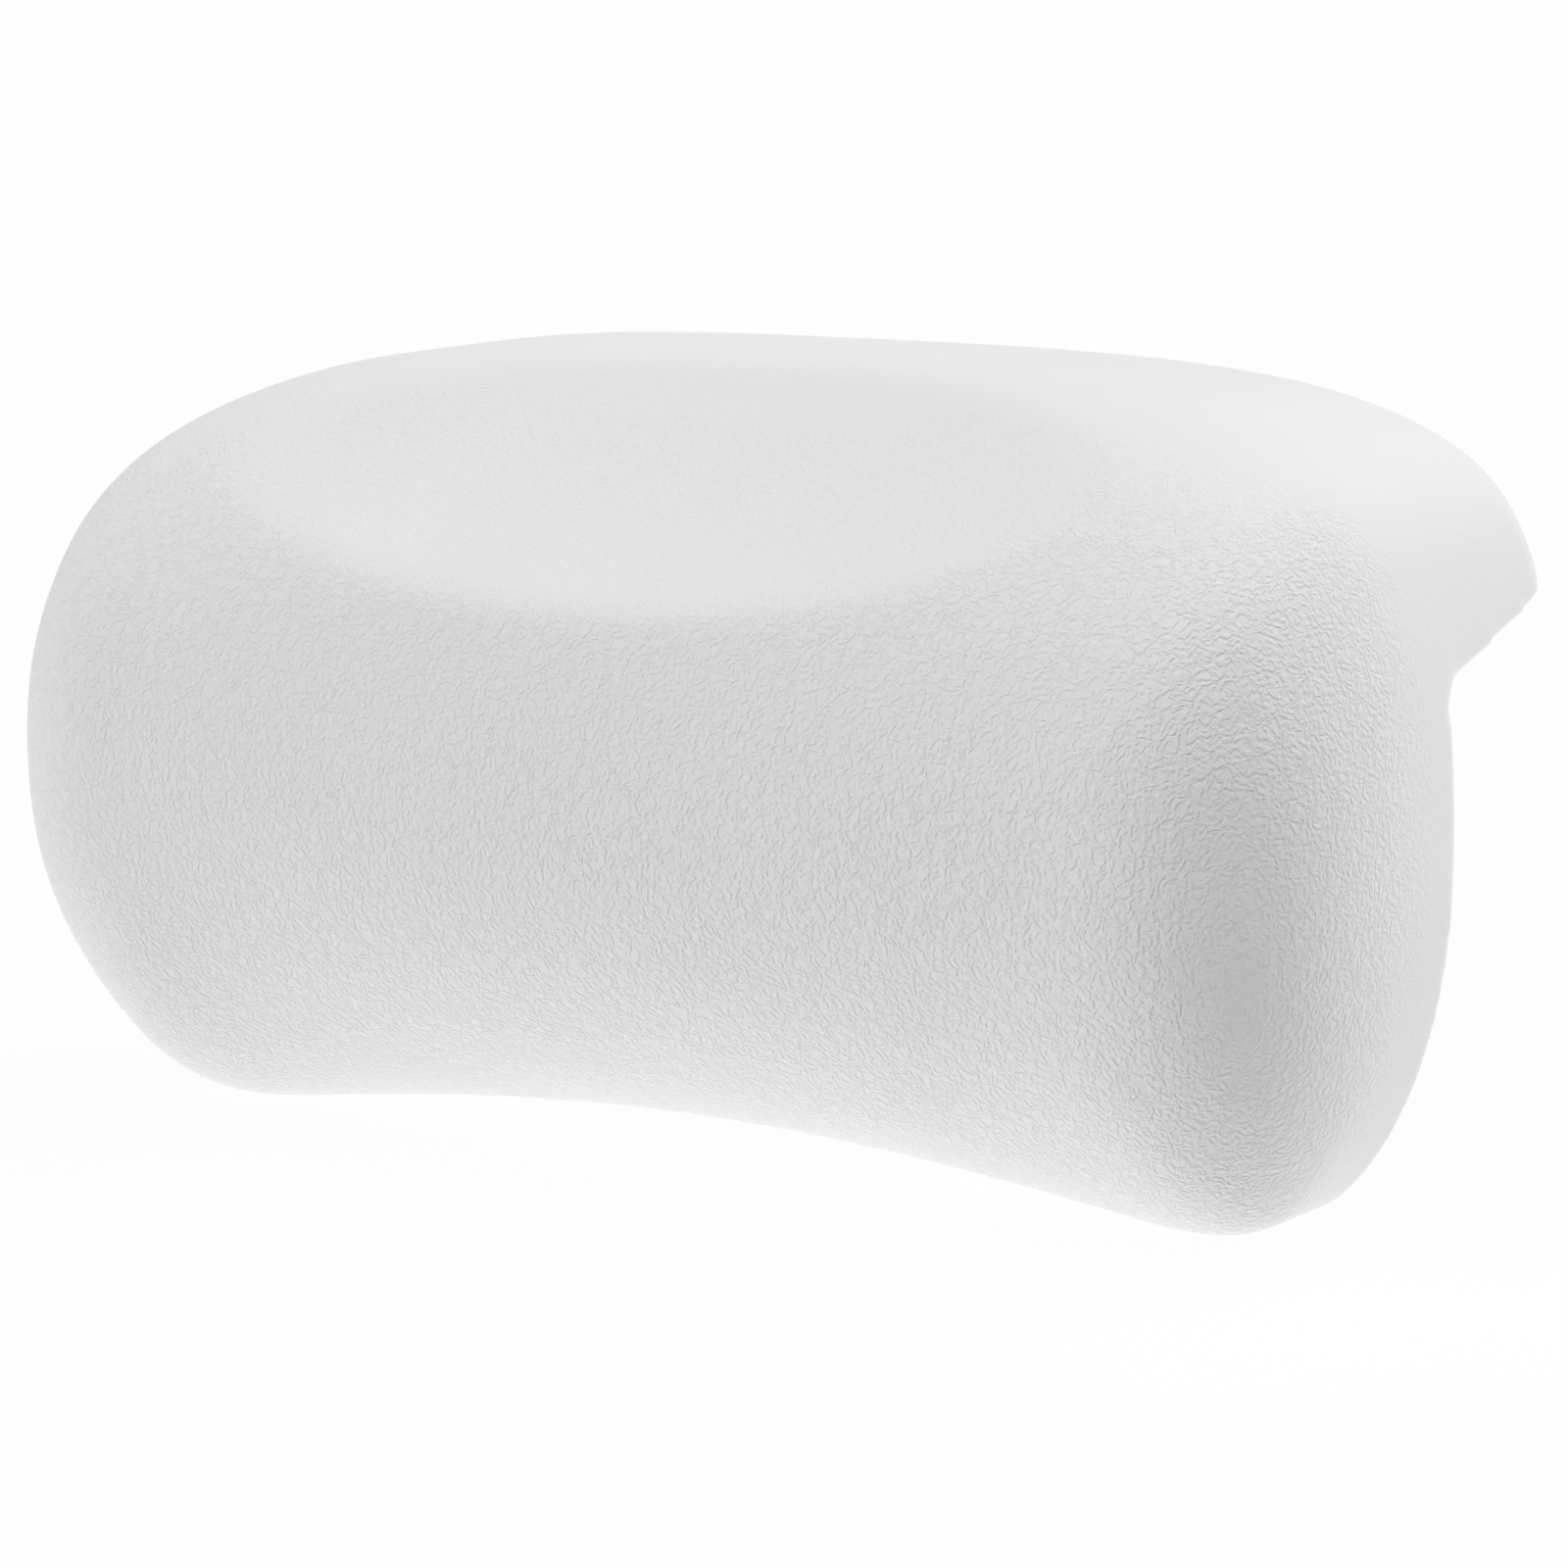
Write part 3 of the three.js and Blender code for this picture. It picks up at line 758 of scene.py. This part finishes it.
def make_plate():
    shape = bmesh.new()
    outer_profile = [
        (PLATE_FLANGE_WIDTH, plate_front_y),
        (PLATE_FLANGE_WIDTH, flange_face_y),
        (-FIT_GAP, flange_face_y),
        (-FIT_GAP, plate_face_y),
        (-FIT_GAP - 2 * MOULDED_EDGE, plate_face_y),
    ]
    front, face = moulded_wall(shape, well_outline, rounded_profile(outer_profile, MOULDED_EDGE))
    hole_profile = [
        (0, plate_front_y),
        (0, plate_face_y),
        (2 * MOULDED_EDGE, plate_face_y),
    ]
    hole_fronts, hole_faces = [], []
    for place in socket_places:
        def hole(grown, place=place):
            return circle(place, barrel_radius + FIT_GAP + grown)
        hole_front, hole_face = moulded_wall(shape, hole, rounded_profile(hole_profile, MOULDED_EDGE))
        hole_fronts.append(hole_front)
        hole_faces.append(hole_face)
    cap(shape, front, *hole_fronts)
    cap(shape, face, *hole_faces)
    return finish_shape("stiffening_plate", shape)


def turn_profile(shape, place, profile):
    """Turns a profile of radius and depth round an axis along Y."""
    return sweep(shape, [at_depth(circle(place, max(radius, AXIS_RADIUS)), y) for radius, y in profile])


def keyhole(place, grown):
    """Entry hole below, with a narrower slot that runs up from it."""
    entry, slot = pocket_radius + grown, slot_radius + grown
    low = (place[0], place[1] - HANG_TRAVEL / 2)
    high = (place[0], place[1] + HANG_TRAVEL / 2)
    turn = math.degrees(math.acos(slot / entry))
    around = arc(low, entry, 180 - turn, 360 + turn, 3 * ARC_STEPS)
    return np.concatenate([around, arc(high, slot, 0, 180, 2 * ARC_STEPS)])


def slot_outline(place, grown):
    low = (place[0], place[1] - HANG_TRAVEL / 2)
    high = (place[0], place[1] + HANG_TRAVEL / 2)
    radius = pocket_radius + grown
    below = arc(low, radius, 180, 360, 2 * ARC_STEPS)
    return np.concatenate([below, arc(high, radius, 0, 180, 2 * ARC_STEPS)])


def make_socket(number, place):
    shape = bmesh.new()
    outer_profile = [
        (0.0, socket_end_y),
        (barrel_radius, socket_end_y),
        (barrel_radius, socket_seat_y),
        (SOCKET_FLANGE_RADIUS, socket_seat_y),
        (SOCKET_FLANGE_RADIUS, socket_face_y),
        (SOCKET_FLANGE_RADIUS - SOCKET_FACE_EDGE, socket_face_y),
    ]
    _, face = turn_profile(shape, place, rounded_profile(outer_profile, MOULDED_EDGE))
    mouth = [(0, pocket_top_y), (0, socket_face_y), (2 * MOULDED_EDGE, socket_face_y)]
    mouth = rounded_profile(mouth, MOULDED_EDGE)
    ceiling, opening = moulded_wall(shape, lambda grown: keyhole(place, grown), mouth)
    cap(shape, face, opening)
    walls = [(0, pocket_end_y), (0, pocket_top_y)]
    floor_loop, roof_loop = moulded_wall(shape, lambda grown: slot_outline(place, grown), walls)
    cap(shape, floor_loop)
    cap(shape, roof_loop, ceiling)
    return finish_shape(f"hanging_socket_{number}", shape)


def make_stud(number, place):
    shape = bmesh.new()
    profile = [
        (0.0, head_end_y),
        (STUD_HEAD_RADIUS, head_end_y),
        (STUD_HEAD_RADIUS, head_top_y),
        (STUD_NECK_RADIUS, head_top_y),
        (STUD_NECK_RADIUS, stud_collar_y),
        (STUD_COLLAR_RADIUS, stud_collar_y),
        (STUD_COLLAR_RADIUS, stud_shoulder_y),
        (STUD_PLUG_RADIUS, stud_shoulder_y),
        (STUD_PLUG_RADIUS, stud_shoulder_y + STUD_PLUG_LENGTH),
        (0.0, stud_shoulder_y + STUD_PLUG_LENGTH),
    ]
    turn_profile(shape, place, rounded_profile(profile, MOULDED_EDGE))
    return finish_shape(f"mushroom_stud_{number}", shape)


def bend(start, pull, end, steps=2 * ARC_STEPS):
    """Points of a profile's bend from a start to an end."""
    start, pull, end = np.array(start), np.array(pull), np.array(end)
    share = np.linspace(0, 1, steps + 1)[:, None]
    return list((1 - share) ** 2 * start + 2 * share * (1 - share) * pull + share ** 2 * end)


def make_cup(number, place):
    shape = bmesh.new()
    hole_radius = STUD_PLUG_RADIUS + FIT_GAP
    hole_end_y = stud_shoulder_y + STUD_PLUG_LENGTH + FIT_GAP
    neck_end_y = cup_neck_y + CUP_NECK_LENGTH
    inner_y = hole_end_y + CUP_WEB
    inner_rim = CUP_RADIUS - CUP_RIM_WIDTH
    bell_end_y = cup_rim_y - CUP_RIM_THICKNESS
    shoulder = CUP_NECK_RADIUS + CUP_SHOULDER_WIDTH
    neck = [
        (0.0, hole_end_y),
        (hole_radius, hole_end_y),
        (hole_radius, cup_neck_y),
        (CUP_NECK_RADIUS, cup_neck_y),
        (CUP_NECK_RADIUS, neck_end_y),
    ]
    rim = [(CUP_RADIUS, bell_end_y), (CUP_RADIUS, cup_rim_y), (inner_rim, cup_rim_y)]
    profile = rounded_profile(neck, MOULDED_EDGE)
    profile += bend((CUP_NECK_RADIUS, neck_end_y), (shoulder, neck_end_y), (CUP_RADIUS, bell_end_y))[1:]
    profile += rounded_profile(rim, MOULDED_EDGE)[1:]
    profile += bend((inner_rim, cup_rim_y), (inner_rim / 2, inner_y), (0.0, inner_y))[1:]
    turn_profile(shape, place, profile)
    return finish_shape(f"clear_cup_{number}", shape)


def place_piece(piece, node, body, slot):
    piece.data.materials.clear()
    piece.data.materials.append(finishes[slot])
    piece.data.shade_smooth()
    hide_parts(node)
    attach(piece, body)


skin = make_skin()
place_piece(skin, "grained_skin", "pillow", "skin")
foam = make_foam()
place_piece(foam, "foam_core", "pillow", "foam")
place_piece(make_plate(), "back_plate", "pillow", "plate")
for number, (socket_place, cup_place) in enumerate(zip(socket_places, cup_places), 1):
    place_piece(make_socket(number, socket_place), f"keyhole_socket_{number}", "pillow", "socket")
    place_piece(make_stud(number, cup_place), f"cup_stud_{number}", f"stud_{number}", "stud")
    place_piece(make_cup(number, cup_place), f"suction_cup_{number}", f"cup_{number}", "cup")

# Camera at the photograph's angle
CAMERA_AZIMUTH = 35.05
CAMERA_ELEVATION = 9.22
CAMERA_ROLL = -0.7
CAMERA_DISTANCE = 1.2075
CAMERA_LENS = 129.9
CAMERA_SHIFT = (0.008, -0.0145)


def make_camera():
    azimuth, elevation, roll = map(math.radians, (CAMERA_AZIMUTH, CAMERA_ELEVATION, CAMERA_ROLL))
    level = math.cos(elevation)
    back = Vector((math.sin(azimuth) * level, -math.cos(azimuth) * level, math.sin(elevation)))
    right = Vector((0, 0, 1)).cross(back).normalized()
    up = back.cross(right)
    turned_right = math.cos(roll) * right + math.sin(roll) * up
    turned_up = math.cos(roll) * up - math.sin(roll) * right
    lens = bpy.data.cameras.new("photo_camera")
    lens.lens = CAMERA_LENS
    lens.shift_x, lens.shift_y = CAMERA_SHIFT
    camera = bpy.data.objects.new("photo_camera", lens)
    camera.matrix_world = Matrix.Translation(drawing_origin + back * CAMERA_DISTANCE) @ Matrix(
        (turned_right, turned_up, back)
    ).transposed().to_4x4()
    bpy.context.scene.collection.objects.link(camera)
    bpy.context.scene.camera = camera


# Light tent: the brightness of its walls, turned to the photograph's camera, and what its corners
# add or take; the front is a dark card, which takes light away until none is left
TENT_RIGHT = 1.37
TENT_BACK = 0.0
TENT_TOP = 1.35
TENT_LEFT = 0.9
TENT_FRONT = -0.42
TENT_FLOOR = 1.82
TENT_UPPER_RIGHT = 0.58
TENT_RIGHT_BACK = 1.18
TENT_LOW_BACK = 1.39
FLOOR_COLOUR = (0.95, 0.95, 0.95)
FLOOR_WHITE_SHARE = 0.9
FLOOR_HALF = 12.0


def seen_directly(value):
    """One for what the camera sees straight on, in gloss or through a clear piece."""
    seen = 0
    for ray in ("Is Camera Ray", "Is Glossy Ray", "Is Transmission Ray"):
        seen = value.node("ShaderNodeLightPath", {}, {}, ray) + seen
    return value.node("ShaderNodeClamp", {}, {"Value": seen})


def tent_glow(way):
    """Brightness of the tent in a direction: each wall counts by the square of how much it is faced."""
    turn = {"Vector": way, "Axis": (0, 0, 1), "Angle": math.radians(-CAMERA_AZIMUTH)}
    faced = way.node("ShaderNodeVectorRotate", {"rotation_type": "AXIS_ANGLE"}, turn)
    share = {axis: part_of(faced, axis) for axis in "XYZ"}
    walls = {"X": (TENT_RIGHT, TENT_LEFT), "Y": (TENT_BACK, TENT_FRONT), "Z": (TENT_TOP, TENT_FLOOR)}
    corners = {"XZ": TENT_UPPER_RIGHT, "XY": TENT_RIGHT_BACK, "YZ": -TENT_LOW_BACK}
    glow = 0
    for axis, (ahead, behind) in walls.items():
        side = faced.node("ShaderNodeMath", {"operation": "GREATER_THAN"}, {0: share[axis], 1: 0.0})
        glow = share[axis] * share[axis] * (behind + side * (ahead - behind)) + glow
    for (first, second), level in corners.items():
        glow = share[first] * share[second] * level + glow
    return glow.node("ShaderNodeMath", {"operation": "MAXIMUM"}, {0: glow, 1: 0.0})


def light_tent():
    world = bpy.data.worlds.new("light_tent")
    bpy.context.scene.world = world
    world.use_nodes = True
    _, way = open_tree(world.node_tree)
    seen = seen_directly(way)
    strength = seen + (1 - seen) * tent_glow(way)
    background = way.node("ShaderNodeBackground", {}, {"Color": (1, 1, 1, 1), "Strength": strength})
    end = world.node_tree.nodes.new("ShaderNodeOutputWorld")
    world.node_tree.links.new(background.socket, end.inputs["Surface"])


def make_floor():
    """White tent floor: light comes up through it, and it keeps the pillow's shadow."""
    mesh = bpy.data.meshes.new("white_floor")
    sides = (-FLOOR_HALF, FLOOR_HALF)
    mesh.from_pydata([(x, y, 0) for y in sides for x in sides], [], [(0, 1, 3, 2)])
    floor = bpy.data.objects.new("white_floor", mesh)
    floor.visible_diffuse = False
    floor.visible_shadow = False
    bpy.context.scene.collection.objects.link(floor)
    material = bpy.data.materials.new("white_floor")
    material.use_nodes = True
    place, _ = open_tree(material.node_tree)
    matt = place.node("ShaderNodeBsdfDiffuse", {}, {"Color": (*FLOOR_COLOUR, 1)})
    white = place.node("ShaderNodeEmission", {}, {"Color": (1, 1, 1, 1), "Strength": 1.0})
    both = place.node("ShaderNodeMixShader", {}, {0: FLOOR_WHITE_SHARE, 1: matt, 2: white})
    link_surface(place, both)
    mesh.materials.append(material)


make_camera()
light_tent()
make_floor()
bpy.context.scene.view_settings.view_transform = "Standard"
